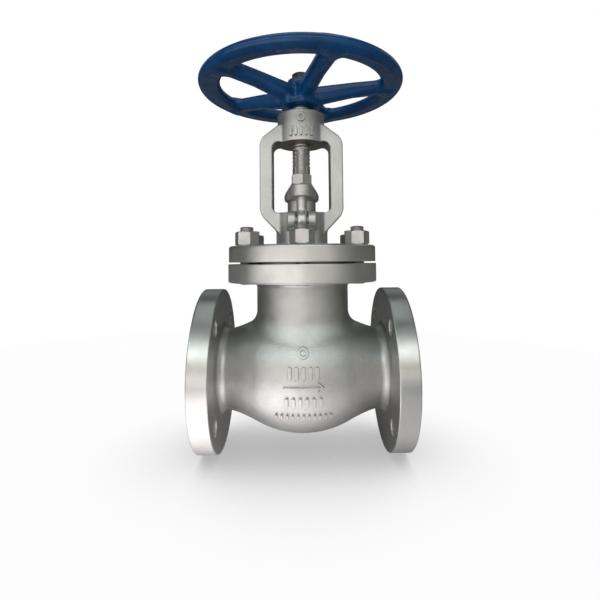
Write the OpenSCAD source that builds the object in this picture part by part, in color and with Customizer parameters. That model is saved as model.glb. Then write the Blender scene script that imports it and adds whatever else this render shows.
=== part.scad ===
// Flanged globe valve with a rising stem, a bolted bonnet and an integral yoke, shown closed.
// The origin is the centre of the inlet's raised face. Flow runs along +X and the stem stands along +Z.
// Heights are measured from the flow axis. Every piece is built about the stem's axis and moved by at_stem().

/* [Pipe ends] */
// Length from the inlet's raised face to the outlet's
face_to_face = 241.3; // [236:0.1:250]
// Diameter of each end flange
end_flange_d = 190.5; // [186:0.5:196]
// Thickness of each end flange's rim, without its raised face
end_flange_t = 22.4; // [20:0.1:24]
// Diameter of each raised face
raised_face_d = 127; // [120:1:130]
// Height of each raised face
raised_face_h = 1.6; // [1.5:0.1:2]
// Diameter of the two ports
port_d = 76; // [72:0.5:77]
// Diameter of the bolt circle of each end flange
end_bolt_circle_d = 152.4; // [150:0.1:154]
// Diameter of the inlet flange's bolt holes
inlet_bolt_hole_d = 19.05; // [18:0.05:20]
// Diameter of the outlet flange's bolt holes, drilled with a little more play
outlet_bolt_hole_d = 19.4; // [18:0.05:20]
// Number of bolt holes in each end flange
end_bolt_count = 4; // [4:4:8]

/* [Body] */
// Largest radius of the round belly
belly_r = 73.6; // [73:0.1:75]
// Radius of the arc that the belly turns
belly_arc_r = 115; // [114:1:116]
// Thickness of the belly's wall
belly_wall = 9; // [8:0.5:9]
// Outside radius of the two end necks
end_neck_r = 46.5; // [46:0.5:48]
// Outside radius of the upright neck
neck_r = 55.4; // [55:0.1:56]
// Bore radius of the upright neck
neck_bore_r = 46; // [45:0.5:47]
// Radius of the body's bonnet flange
body_flange_r = 89.9; // [89:0.1:92]
// Height of the underside of the body's bonnet flange
body_flange_z = 104.2; // [103:0.1:105]
// Thickness of the body's bonnet flange
body_flange_t = 21.5; // [21:0.1:22]

/* [Seat and disc] */
// Bore radius of the seat ring
seat_bore_r = 37; // [35:0.5:37]
// Travel of the disc from shut to fully open
lift = 25; // [20:1:25]
// Radius of the disc
disc_r = 42; // [41:0.5:43]

/* [Bonnet] */
// Radius of the bonnet's flange
bonnet_flange_r = 89.2; // [88:0.1:92]
// Open gap between the two flange rims
rim_gap = 2.1; // [1.8:0.1:3]
// Thickness of the bonnet's flange
bonnet_flange_t = 19.2; // [19:0.1:20]
// Outside radius of the bonnet's neck
bonnet_neck_r = 31.6; // [31:0.1:33]
// Diameter of the circle of bonnet studs
bonnet_bolt_circle_d = 147; // [146:0.5:148]
// Number of bonnet studs
bonnet_stud_count = 6; // [6:1:8]
// Diameter of the bonnet studs
bonnet_stud_d = 16; // [14:1:16]

/* [Yoke] */
// Width over the two yoke arms
yoke_w = 101; // [98:0.5:104]
// Width of the yoke's window
yoke_window_w = 69.8; // [68:0.2:71]
// Height of the window's floor, where the stuffing box opens
yoke_window_z = 187; // [186:0.5:188]
// Height of the window's ceiling
yoke_ceiling_z = 273.6; // [272:0.1:275]
// Front to back depth of the yoke arms
yoke_depth = 35; // [32:0.5:37]
// Radius of the yoke's top boss
boss_r = 29.2; // [28:0.1:30]
// Height of the top of the boss
boss_top_z = 310.3; // [308:0.1:311]

/* [Stem] */
// Diameter of the stem
stem_d = 22; // [20:1:22]
// Height of the underside of the handwheel's hub
hub_z = 320; // [319:0.5:322]
// Side of the stem's square, which turns with the handwheel
square_w = 15; // [14:0.5:15]

/* [Gland] */
// Distance from the stem's axis to each eyebolt
eyebolt_y = 38; // [38:0.5:39]
// Height of the eyebolt pins
eyebolt_pin_z = 176; // [176:0.5:177]
// Diameter of the eyebolts
eyebolt_d = 12; // [10:1:12]
// Diameter of the eyebolt pins
eyebolt_pin_d = 10; // [8:0.5:10]
// Height of the underside of the gland flange
gland_z = 202.2; // [201:0.1:203]
// Thickness of the gland flange
gland_t = 14; // [12:0.5:15]

/* [Handwheel] */
// Radius of the rim's centre line
rim_r = 113; // [110:0.1:118]
// Radial width of the rim's section
rim_w = 26; // [22:0.2:28]
// Height of the rim's section
rim_h = 18; // [16:0.5:20]
// Height of the rim's centre
rim_z = 347.1; // [344:0.1:350]
// Number of spokes
spoke_count = 5; // [4:1:6]

/* [Hidden] */
$fn = 120;

slip = 0.05;               // radial clearance of running and screwed fits
touch = 0.03;              // gap left between faces that bear on each other
bite = 0.3;                // depth that a fillet ring sinks into what it joins

cast_paint = "silver";
cut_steel = "lightslategray";

end_face_x = face_to_face / 2;
end_rim_x = end_face_x - raised_face_h;
end_flange_back_x = end_rim_x - end_flange_t;
bridge_low_z = -7;
bridge_top_z = 4;
seat_ring_r = 42;
seat_collar_r = 45;
seat_top_z = 8;
seat_cone_h = 3;
drain_boss_r = 7;
drain_boss_reach = belly_r + 1.6;

body_face_z = body_flange_z + body_flange_t;
gasket_out_r = 62;
gasket_in_r = 49;
gasket_t = 3.2;
recess_depth = 5;
gasket_z = body_face_z - recess_depth;
bonnet_rim_z = body_face_z + rim_gap;
bonnet_top_z = bonnet_rim_z + bonnet_flange_t;
spigot_z = gasket_z + gasket_t + touch;
stud_r = bonnet_stud_d / 2;
stud_low_z = body_flange_z - 1.7;
nut_h = bonnet_stud_d;
nut_flats = 1.5 * bonnet_stud_d;
stud_top_z = bonnet_top_z + nut_h + 5.5;
first_stud_angle = 270;
nut_turns = [0, -5, 14, 22, -11, -7, 9, -3];   // how far each bonnet nut was turned when tight

stem_r = stem_d / 2;
bush_r = 15;
bush_collar_r = 17.5;
bush_collar_t = 4;
bush_screw_r = 3;
bush_screw_z = 300;
bush_screw_h = 13;
box_r = 17.5;
box_floor_z = 145;
packing_washer_t = 3;
packing_ring_h = 6.4;
packing_count = 5;
packing_z = box_floor_z + packing_washer_t;
packing_top_z = packing_z + packing_count * packing_ring_h;
backseat_r = 18;
backseat_top_z = 139;
backseat_low_z = 122;
shoulder_r = 14;
shoulder_cone_h = shoulder_r - stem_r;
shoulder_top_z = backseat_low_z - lift;

thrust_plate_z = 14;
thrust_plate_t = 3;
foot_z = thrust_plate_z + thrust_plate_t + touch;
foot_r = 17;
foot_top_z = 24;
disc_pocket_r = 19;
disc_hub_r = 27;
disc_hub_z = 34;

window_w2 = yoke_window_w / 2;
window_corner_r = 7.5;
lug_in_x = 7.4;
lug_out_x = 16.3;
lug_r = 10.5;
eye_r = 11;
eye_t = 12;
eyebolt_top_z = 258;
eyebolt_r = eyebolt_d / 2;
pin_r = eyebolt_pin_d / 2;
gland_nut_z = gland_z + gland_t + touch;
gland_nut_flats = 22;
gland_nut_h = 12;
gland_nut_turn = 35;
ear_r = 13;
gland_hub_r = 22;
gland_hub_h = 22.5;

hub_r = 16.4;
hub_skirt_r = 25.5;
hub_h = 35.4;
hub_top_z = hub_z + hub_h;
top_thread_r = 6;
washer_t = 1.6;
wheel_nut_flats = 19;
wheel_nut_h = 7;

// ---- Shared shapes ----

// Moves a shape from the stem's axis to its place along the flow axis.
module at_stem() translate([end_face_x, 0, 0]) children();

// Turns a shape that stands along +Z so that it lies along +X, or along -X for side -1.
module lay_x(side = 1) rotate([0, side * 90, 0]) children();

// Copies a shape around the Z axis, without turning the copies.
module around(count, radius, start = 0)
    for (i = [0 : count - 1])
        translate([radius * cos(start + i * 360 / count), radius * sin(start + i * 360 / count), 0])
            children();

// A cylinder from low to high with both rims bevelled.
module bevelled(r, low, high, bevel)
    rotate_extrude()
        polygon([
            [0, low], [r - bevel, low], [r, low + bevel],
            [r, high - bevel], [r - bevel, high], [0, high]
        ]);

// A washer or bush from low to high.
module ring(r_out, r_in, low, high)
    difference() {
        translate([0, 0, low]) cylinder(r = r_out, h = high - low);
        translate([0, 0, low - 1]) cylinder(r = r_in, h = high - low + 2);
    }

// The concave fillet where a post of radius r stands on a plane at z = 0.
module fillet_ring(r, fillet)
    rotate_extrude()
        translate([r - bite, -bite])
            difference() {
                square(fillet);
                translate([fillet, fillet]) circle(fillet);
            }

// A plain post or bore from low to high.
module post(r, low, high) translate([0, 0, low]) cylinder(r = r, h = high - low);

// A hexagon nut with bevelled corners and a plain bore.
module hex_nut(flats, h, bore_r) {
    corner_r = flats / sqrt(3);
    bevel = (corner_r - flats / 2) * 0.9;
    difference() {
        intersection() {
            cylinder(r = corner_r, h = h, $fn = 6);
            bevelled(corner_r + bevel / 2, -bevel / 2, h, bevel);
        }
        translate([0, 0, -1]) cylinder(r = bore_r, h = h + 2);
    }
}

// ---- Pressure casing ----

// The belly, a barrel of revolution about the flow axis.
module belly(wall_inset)
    lay_x()
        rotate_extrude()
            intersection() {
                translate([belly_r - belly_arc_r, 0]) circle(belly_arc_r - wall_inset);
                translate([0, -end_flange_back_x + 12]) square([belly_r + 1, 2 * end_flange_back_x - 24]);
            }

module end_outside(side)
    lay_x(side) {
        cylinder(r = end_neck_r, h = end_flange_back_x + 1);
        translate([0, 0, end_flange_back_x]) mirror([0, 0, 1]) fillet_ring(end_neck_r, 10);
        bevelled(end_flange_d / 2, end_flange_back_x, end_rim_x, 1);
        translate([0, 0, end_rim_x - 1]) cylinder(r = raised_face_d / 2, h = raised_face_h + 1);
    }

module body_outside() {
    belly(0);
    end_outside(-1);
    end_outside(1);
    cylinder(r = neck_r, h = body_flange_z + 1);
    translate([0, 0, body_flange_z]) mirror([0, 0, 1]) fillet_ring(neck_r, 8);
    bevelled(body_flange_r, body_flange_z, body_face_z, 1);
    translate([0, 0, -drain_boss_reach]) cylinder(r = drain_boss_r, h = 10);
}

// The S-shaped wall that carries the seat: a level bridge, a web up to the inlet's roof and one down
// to the outlet's floor.
module seat_wall()
    rotate([90, 0, 0])
        linear_extrude(height = 2 * belly_r, center = true)
            polygon([
                [-71.5, 46], [-54, bridge_low_z], [44.6, bridge_low_z], [62, -46],
                [71.5, -46], [54, bridge_top_z], [-44.6, bridge_top_z], [-62, 46]
            ]);

module flow_space()
    difference() {
        union() {
            belly(belly_wall);
            lay_x() translate([0, 0, -end_face_x - 1]) cylinder(d = port_d, h = face_to_face + 2);
            translate([0, 0, 30]) cylinder(r = neck_bore_r, h = body_face_z);
        }
        seat_wall();
    }

module end_bolt_holes(side, hole_d)
    lay_x(side)
        around(end_bolt_count, end_bolt_circle_d / 2, 180 / end_bolt_count)
            post(hole_d / 2, end_flange_back_x - 1, end_rim_x + 1);

module body_casting()
    color(cast_paint)
        at_stem()
            difference() {
                body_outside();
                flow_space();
                post(seat_ring_r + slip, bridge_low_z - 1, bridge_top_z + 1);
                post(seat_collar_r + slip, bridge_top_z, seat_top_z + 4);
                post(gasket_out_r + 0.5, gasket_z, body_face_z + 1);
                around(bonnet_stud_count, bonnet_bolt_circle_d / 2, first_stud_angle)
                    post(stud_r + slip, body_flange_z - 1, body_face_z + 1);
                end_bolt_holes(-1, inlet_bolt_hole_d);
                end_bolt_holes(1, outlet_bolt_hole_d);
            }

module seat_ring()
    color("gainsboro")
        at_stem()
            rotate_extrude()
                polygon([
                    [seat_bore_r, bridge_low_z], [seat_ring_r, bridge_low_z],
                    [seat_ring_r, bridge_top_z + touch], [seat_collar_r, bridge_top_z + touch],
                    [seat_collar_r, seat_top_z], [seat_bore_r + seat_cone_h, seat_top_z],
                    [seat_bore_r, seat_top_z - seat_cone_h]
                ]);

module bonnet_gasket()
    color("dimgray")
        at_stem()
            ring(gasket_out_r, gasket_in_r, gasket_z + touch, gasket_z + gasket_t);

// The two arms in one plate, with the window between them, seen along the Y axis.
module yoke_outline()
    difference() {
        polygon([
            [-27, 161], [27, 161], [32, 166.3], [yoke_w / 2 - 3.7, 182], [yoke_w / 2 - 1, 187],
            [yoke_w / 2, 192], [yoke_w / 2 - 0.5, 273], [yoke_w / 2 - 3, 279.5], [27.5, 295], [-27.5, 295],
            [3 - yoke_w / 2, 279.5], [0.5 - yoke_w / 2, 273], [-yoke_w / 2, 192], [1 - yoke_w / 2, 187],
            [3.7 - yoke_w / 2, 182], [-32, 166.3]
        ]);
        for (side = [-1, 1], z = [yoke_window_z + window_corner_r, yoke_ceiling_z - window_corner_r])
            translate([side * (window_w2 - window_corner_r), z]) circle(window_corner_r);
        translate([window_corner_r - window_w2, yoke_window_z])
            square([yoke_window_w - 2 * window_corner_r, yoke_ceiling_z - yoke_window_z]);
        translate([-window_w2, yoke_window_z + window_corner_r])
            square([yoke_window_w, yoke_ceiling_z - yoke_window_z - 2 * window_corner_r]);
    }

// The pair of lugs that holds one eyebolt, on the side that faces -Y.
module lug_pair()
    for (side = [-1, 1])
        translate([side * (lug_in_x + lug_out_x) / 2, -eyebolt_y, eyebolt_pin_z])
            lay_x() {
                cylinder(r = lug_r, h = lug_out_x - lug_in_x, center = true);
                translate([-lug_r, 0, lug_in_x / 2 - lug_out_x / 2])
                    cube([2 * lug_r, eyebolt_y - 22, lug_out_x - lug_in_x]);
            }

module bonnet_casting()
    color(cast_paint)
        at_stem()
            difference() {
                union() {
                    bevelled(bonnet_flange_r, bonnet_rim_z, bonnet_top_z, 1);
                    translate([0, 0, spigot_z]) cylinder(r = gasket_out_r, h = 10);
                    post(bonnet_neck_r, bonnet_top_z - 1, yoke_window_z);
                    translate([0, 0, bonnet_top_z]) fillet_ring(bonnet_neck_r, 4);
                    rotate([90, 0, 0]) linear_extrude(height = yoke_depth, center = true) yoke_outline();
                    bevelled(boss_r, yoke_ceiling_z - 1, boss_top_z, 0.8);
                    lug_pair();
                    rotate([0, 0, 180]) lug_pair();
                }
                // Bore for the stem, backseat, stuffing box and yoke bush
                post(stem_r + 0.6, spigot_z - 1, boss_top_z + 1);
                post(backseat_r + slip, spigot_z - 1, backseat_top_z);
                post(box_r, box_floor_z, yoke_window_z + 1);
                post(bush_r + slip, yoke_ceiling_z - 2, boss_top_z + 1);
                translate([0, 0, bush_screw_z]) rotate([-90, 0, 0]) post(bush_screw_r + slip, 0, boss_r + 1);
                around(bonnet_stud_count, bonnet_bolt_circle_d / 2, first_stud_angle)
                    post(stud_r + 1, bonnet_rim_z - 1, bonnet_top_z + 1);
                // Room for the two eyes, and the holes for their pins
                for (side = [-1, 1]) {
                    translate([0, side * (eyebolt_y + 2), eyebolt_pin_z + 0.5])
                        cube([2 * lug_in_x - 0.4, 28, 2 * eye_r + 4], center = true);
                    translate([0, side * eyebolt_y, eyebolt_pin_z])
                        lay_x() cylinder(r = pin_r + slip, h = 2 * lug_out_x + 2, center = true);
                }
            }

module backseat_bush()
    color("gainsboro")
        at_stem()
            rotate_extrude()
                polygon([
                    [backseat_r, backseat_low_z], [backseat_r, backseat_top_z],
                    [stem_r + slip, backseat_top_z],
                    [stem_r + slip, backseat_low_z + shoulder_cone_h + 0.1],
                    [shoulder_r + 0.1, backseat_low_z]
                ]);

module bonnet_studs()
    color(cut_steel)
        at_stem()
            around(bonnet_stud_count, bonnet_bolt_circle_d / 2, first_stud_angle)
                bevelled(stud_r, stud_low_z, stud_top_z, 1.5);

module bonnet_nuts()
    color("lightgray")
        at_stem()
            for (i = [0 : bonnet_stud_count - 1])
                rotate([0, 0, first_stud_angle + i * 360 / bonnet_stud_count])
                    translate([bonnet_bolt_circle_d / 2, 0, bonnet_top_z + touch])
                        rotate([0, 0, nut_turns[i] - first_stud_angle - i * 360 / bonnet_stud_count])
                            hex_nut(nut_flats, nut_h, stud_r + slip);

// ---- Packing and yoke bush ----

module packing_washer()
    color(cut_steel) at_stem() ring(box_r - slip, stem_r + 0.2, box_floor_z, packing_z);

module packing_rings()
    color("dimgray")
        at_stem()
            for (i = [0 : packing_count - 1])
                ring(box_r - slip, stem_r + slip, packing_z + i * packing_ring_h + touch,
                    packing_z + (i + 1) * packing_ring_h);

module yoke_bush()
    color("peru")
        at_stem() {
            ring(bush_r, stem_r + slip, yoke_ceiling_z - 1.5, boss_top_z + bush_collar_t);
            ring(bush_collar_r, stem_r + slip, boss_top_z + touch, boss_top_z + bush_collar_t);
        }

module yoke_bush_screw()
    color(cut_steel)
        at_stem()
            translate([0, bush_r + slip, bush_screw_z])
                rotate([-90, 0, 0])
                    difference() {
                        bevelled(bush_screw_r, 0, bush_screw_h, 0.5);
                        // The hexagon socket
                        translate([0, 0, bush_screw_h - 4]) cylinder(r = 1.7, h = 5, $fn = 6);
                    }

// ---- Disc, which rises without turning ----

module disc()
    color("gainsboro")
        at_stem()
            difference() {
                rotate_extrude()
                    polygon([
                        [0, 3], [seat_bore_r - 1, 3],
                        [seat_bore_r - 0.5, seat_top_z - seat_cone_h - 0.5 + touch],
                        [seat_bore_r + seat_cone_h, seat_top_z + touch],
                        [disc_r, seat_top_z + 2], [disc_r, 18],
                        [disc_hub_r + 2, 22], [disc_hub_r, 25], [disc_hub_r, disc_hub_z], [0, disc_hub_z]
                    ]);
                translate([0, 0, thrust_plate_z]) cylinder(r = disc_pocket_r + slip, h = disc_hub_z);
            }

module disc_thrust_plate()
    color(cut_steel) at_stem() translate([0, 0, thrust_plate_z]) cylinder(r = foot_r, h = thrust_plate_t);

module disc_nut()
    color("gainsboro")
        at_stem() {
            ring(disc_pocket_r, shoulder_r + 0.1, foot_top_z + slip, disc_hub_z + 1);
            translate([0, 0, disc_hub_z + touch]) hex_nut(2 * disc_hub_r - 4, 8, shoulder_r + 0.1);
        }

// ---- Stem and handwheel, which turn and rise together ----

module stem()
    color("silver")
        at_stem() {
            translate([0, 0, foot_z]) cylinder(r = foot_r, h = foot_top_z - foot_z);
            translate([0, 0, foot_z]) cylinder(r = stem_r, h = hub_z - foot_z - touch);
            translate([0, 0, shoulder_top_z - 6]) cylinder(r = shoulder_r, h = 6);
            translate([0, 0, shoulder_top_z]) cylinder(r1 = shoulder_r, r2 = stem_r, h = shoulder_cone_h);
            translate([-square_w / 2, -square_w / 2, hub_z - 1]) cube([square_w, square_w, hub_h + 1]);
            bevelled(top_thread_r, hub_z, hub_top_z + 10.1, 1);
        }

// One spoke, from inside the hub to inside the rim, along +X. It is deepest at the hub.
module spoke() {
    hub_end = 11.5;
    middle = 65;
    rim_end = rim_r - 4;
    intersection() {
        rotate([90, 0, 0])
            linear_extrude(height = 30, center = true)
                polygon([
                    [hub_end, 323], [30, 326.5], [middle, 334], [rim_end, rim_z - 7.5],
                    [rim_end, rim_z + 7], [middle, 351], [30, 347], [hub_end, 345]
                ]);
        translate([0, 0, hub_z])
            linear_extrude(height = 2 * hub_h)
                polygon([
                    [hub_end, -10], [middle, -9.5], [rim_end, -12],
                    [rim_end, 12], [middle, 9.5], [hub_end, 10]
                ]);
    }
}

module handwheel()
    color("midnightblue")
        at_stem()
            difference() {
                union() {
                    translate([0, 0, rim_z])
                        rotate_extrude()
                            translate([rim_r, 0]) {
                                for (side = [-1, 1])
                                    translate([side * (rim_w - rim_h) / 2, 0]) circle(d = rim_h);
                                square([rim_w - rim_h, rim_h], center = true);
                            }
                    bevelled(hub_r, hub_z, hub_top_z, 1.5);
                    bevelled(hub_skirt_r, hub_z, hub_z + 8.5, 2.5);
                    for (i = [0 : spoke_count - 1])
                        rotate([0, 0, i * 360 / spoke_count]) spoke();
                }
                translate([0, 0, hub_z + hub_h / 2])
                    cube([square_w + 0.2, square_w + 0.2, hub_h + 10], center = true);
            }

module handwheel_washer()
    color("dimgray") at_stem() ring(12, top_thread_r + 0.3, hub_top_z + touch, hub_top_z + washer_t);

module handwheel_nut()
    color("dimgray")
        at_stem()
            translate([0, 0, hub_top_z + washer_t + touch])
                rotate([0, 0, 12]) hex_nut(wheel_nut_flats, wheel_nut_h, top_thread_r + slip);

// ---- Gland ----

module gland_follower()
    color(cut_steel) at_stem() ring(box_r - 2 * slip, stem_r + 2 * slip, packing_top_z + touch, gland_z);

module gland_flange()
    color("gray")
        at_stem()
            difference() {
                union() {
                    // The hub, a cone with its widest part near the bottom
                    translate([0, 0, gland_z])
                        rotate_extrude()
                            polygon([
                                [0, touch], [gland_hub_r - 2.5, touch], [gland_hub_r, 4],
                                [gland_hub_r - 2, 9], [stem_r + 2, gland_hub_h - 1.5],
                                [stem_r + 1.5, gland_hub_h], [0, gland_hub_h]
                            ]);
                    for (side = [-1, 1])
                        translate([0, side * eyebolt_y, 0])
                            bevelled(ear_r, gland_z + touch, gland_z + gland_t, 1.5);
                    translate([-ear_r, -eyebolt_y, gland_z + touch])
                        cube([2 * ear_r, 2 * eyebolt_y, gland_t - touch]);
                }
                post(stem_r + 0.8, gland_z - 1, gland_z + gland_hub_h + 1);
                for (side = [-1, 1])
                    translate([0, side * eyebolt_y, 0])
                        post(eyebolt_r + 0.5, gland_z - 1, gland_z + gland_t + 1);
            }

// One eyebolt, with its eye about the pin at the origin.
module eyebolt()
    difference() {
        union() {
            lay_x() cylinder(r = eye_r, h = eye_t, center = true);
            bevelled(eyebolt_r, 4, eyebolt_top_z - eyebolt_pin_z, 1.5);
        }
        lay_x() cylinder(r = pin_r + slip, h = eye_t + 2, center = true);
    }

// One pin, driven in flush with its lugs.
module eyebolt_pin() lay_x() bevelled(pin_r, -lug_out_x, lug_out_x, 0.6);

module at_front_pin() translate([0, -eyebolt_y, eyebolt_pin_z]) children();

module at_rear_pin() rotate([0, 0, 180]) at_front_pin() children();

module gland_nut()
    translate([0, -eyebolt_y, gland_nut_z])
        rotate([0, 0, gland_nut_turn]) hex_nut(gland_nut_flats, gland_nut_h, eyebolt_r + slip);

module eyebolt_front() color(cut_steel) at_stem() at_front_pin() eyebolt();

module eyebolt_rear() color(cut_steel) at_stem() at_rear_pin() eyebolt();

module eyebolt_pin_front() color("silver") at_stem() at_front_pin() eyebolt_pin();

module eyebolt_pin_rear() color("silver") at_stem() at_rear_pin() eyebolt_pin();

module gland_nut_front() color("lightgray") at_stem() gland_nut();

module gland_nut_rear() color("lightgray") at_stem() rotate([0, 0, 180]) gland_nut();

body_casting();
seat_ring();
bonnet_gasket();
bonnet_casting();
backseat_bush();
bonnet_studs();
bonnet_nuts();
packing_washer();
packing_rings();
yoke_bush();
yoke_bush_screw();
eyebolt_front();
eyebolt_rear();
eyebolt_pin_front();
eyebolt_pin_rear();
disc();
disc_thrust_plate();
disc_nut();
stem();
handwheel();
handwheel_washer();
handwheel_nut();
gland_follower();
gland_flange();
gland_nut_front();
gland_nut_rear();
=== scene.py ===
"""The looks of the globe valve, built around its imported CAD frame.

Castings are distance fields, in millimetres, with x counted from the stem's axis. Dual contouring turns them
into meshes, so that their fillets and edges are real geometry. Threaded and turned pieces are lathe meshes.
"""

import math

import bpy
import numpy as np
from mathutils import Matrix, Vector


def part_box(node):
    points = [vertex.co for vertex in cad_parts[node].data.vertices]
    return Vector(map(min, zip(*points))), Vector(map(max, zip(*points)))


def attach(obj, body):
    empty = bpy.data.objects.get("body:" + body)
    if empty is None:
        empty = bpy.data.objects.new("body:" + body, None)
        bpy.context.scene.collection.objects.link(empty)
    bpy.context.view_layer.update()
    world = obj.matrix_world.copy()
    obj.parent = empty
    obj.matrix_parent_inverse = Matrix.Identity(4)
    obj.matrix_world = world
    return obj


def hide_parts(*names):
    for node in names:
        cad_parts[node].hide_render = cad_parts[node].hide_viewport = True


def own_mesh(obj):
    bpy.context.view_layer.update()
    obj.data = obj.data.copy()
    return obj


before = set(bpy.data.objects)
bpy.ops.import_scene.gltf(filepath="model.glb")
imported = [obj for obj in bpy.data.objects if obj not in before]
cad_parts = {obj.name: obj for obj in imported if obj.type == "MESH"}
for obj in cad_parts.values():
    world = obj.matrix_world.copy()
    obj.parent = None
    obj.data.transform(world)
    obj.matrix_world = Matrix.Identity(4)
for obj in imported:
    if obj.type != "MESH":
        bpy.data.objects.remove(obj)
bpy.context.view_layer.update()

MM = 0.001
stem_sides = [corner[0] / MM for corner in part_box("stem")]
AXIS = np.array([(stem_sides[0] + stem_sides[1]) / 2, 0, 0])


def node_box(node):
    """Lowest and highest corner of a CAD node, in millimetres, with x counted from the stem's axis."""
    low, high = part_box(node)
    return np.array(low) / MM - AXIS, np.array(high) / MM - AXIS


# Sizes taken from the frame
body_high = node_box("body_casting")[1]
bonnet_low, bonnet_high = node_box("bonnet_casting")
wheel_low, wheel_high = node_box("handwheel")
gland_low, gland_high = node_box("gland_flange")
studs_low, studs_high = node_box("bonnet_studs")
bonnet_nut_box = node_box("bonnet_nuts")
bolt_high = node_box("eyebolt_front")[1]
gland_nut_box = node_box("gland_nut_front")
wheel_nut_box = node_box("handwheel_nut")
stem_low, stem_high = node_box("stem")

# ---------------------------------------------------------------- distance fields


def length(a, b):
    """Distance from the origin, from two perpendicular parts."""
    return np.sqrt(a * a + b * b)


def fillet(a, b, r):
    """The union of a and b with a concave fillet of radius r between them."""
    return np.maximum(r, np.minimum(a, b)) - length(np.maximum(r - a, 0), np.maximum(r - b, 0))


def common(a, b, r):
    """What a and b share, with the edge between them rounded to radius r."""
    return np.minimum(-r, np.maximum(a, b)) + length(np.maximum(r + a, 0), np.maximum(r + b, 0))


def between(v, low, high):
    """Distance to the slab from low to high."""
    return np.abs(v - (low + high) / 2) - (high - low) / 2


def plate(rad, r, z, low, high, low_edge, high_edge):
    """A round plate whose lower and upper edges are rounded to their own radii."""
    return common(common(rad - r, low - z, low_edge), z - high, high_edge)


def slope(u, v, at_u, at_v, degrees):
    """Distance to the side of a sloping line that faces the given angle."""
    a = math.radians(degrees)
    return (u - at_u) * math.cos(a) + (v - at_v) * math.sin(a)


def polygon(u, v, points):
    """Signed distance to a polygon in the plane of u and v."""
    nearest = np.full(np.broadcast(u, v).shape, np.inf)
    inside = np.zeros(nearest.shape, bool)
    for (au, av), (bu, bv) in zip(points, points[1:] + points[:1]):
        eu, ev = bu - au, bv - av
        pu, pv = u - au, v - av
        t = np.clip((pu * eu + pv * ev) / (eu * eu + ev * ev), 0, 1)
        nearest = np.minimum(nearest, (pu - eu * t) ** 2 + (pv - ev * t) ** 2)
        crosses = (av > v) != (bv > v)
        if ev:
            inside ^= crosses & (u < au + eu * (v - av) / ev)
    return np.sqrt(nearest) * np.where(inside, -1, 1)


def hexagon(x, y, flats, turn):
    """Distance to an upright hexagon with a corner at the angle turn, in degrees."""
    sides = []
    for i in range(3):
        a = math.radians(turn + 30 + 60 * i)
        sides.append(np.abs(x * math.cos(a) + y * math.sin(a)))
    return np.maximum(np.maximum(sides[0], sides[1]), sides[2]) - flats / 2


def spaced(*stops):
    """Grid lines from (position, step) stops: each step holds until the next stop."""
    lines = []
    for (a, step), (b, _) in zip(stops, stops[1:]):
        count = max(1, round((b - a) / step))
        lines.extend(a + (b - a) * i / count for i in range(count))
    return np.array(lines + [stops[-1][0]])


def gradient(field, p, h):
    """Unit normals of the field at points p, from steps of h to both sides."""
    parts = []
    for k in range(3):
        step = np.zeros(3)
        step[k] = h
        a, b = p + step, p - step
        parts.append(field(a[:, 0], a[:, 1], a[:, 2]) - field(b[:, 0], b[:, 1], b[:, 2]))
    g = np.stack(parts, 1)
    return g / np.maximum(np.linalg.norm(g, axis=1, keepdims=True), 1e-12)


# Passes that find where an edge of the grid crosses the surface, the reach of the normals there, and the pull
# that keeps a cell's point near the middle of its crossings
CROSSING_PASSES = 4
CROSSING_REACH = 0.01
CENTRE_PULL = 0.06


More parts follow.
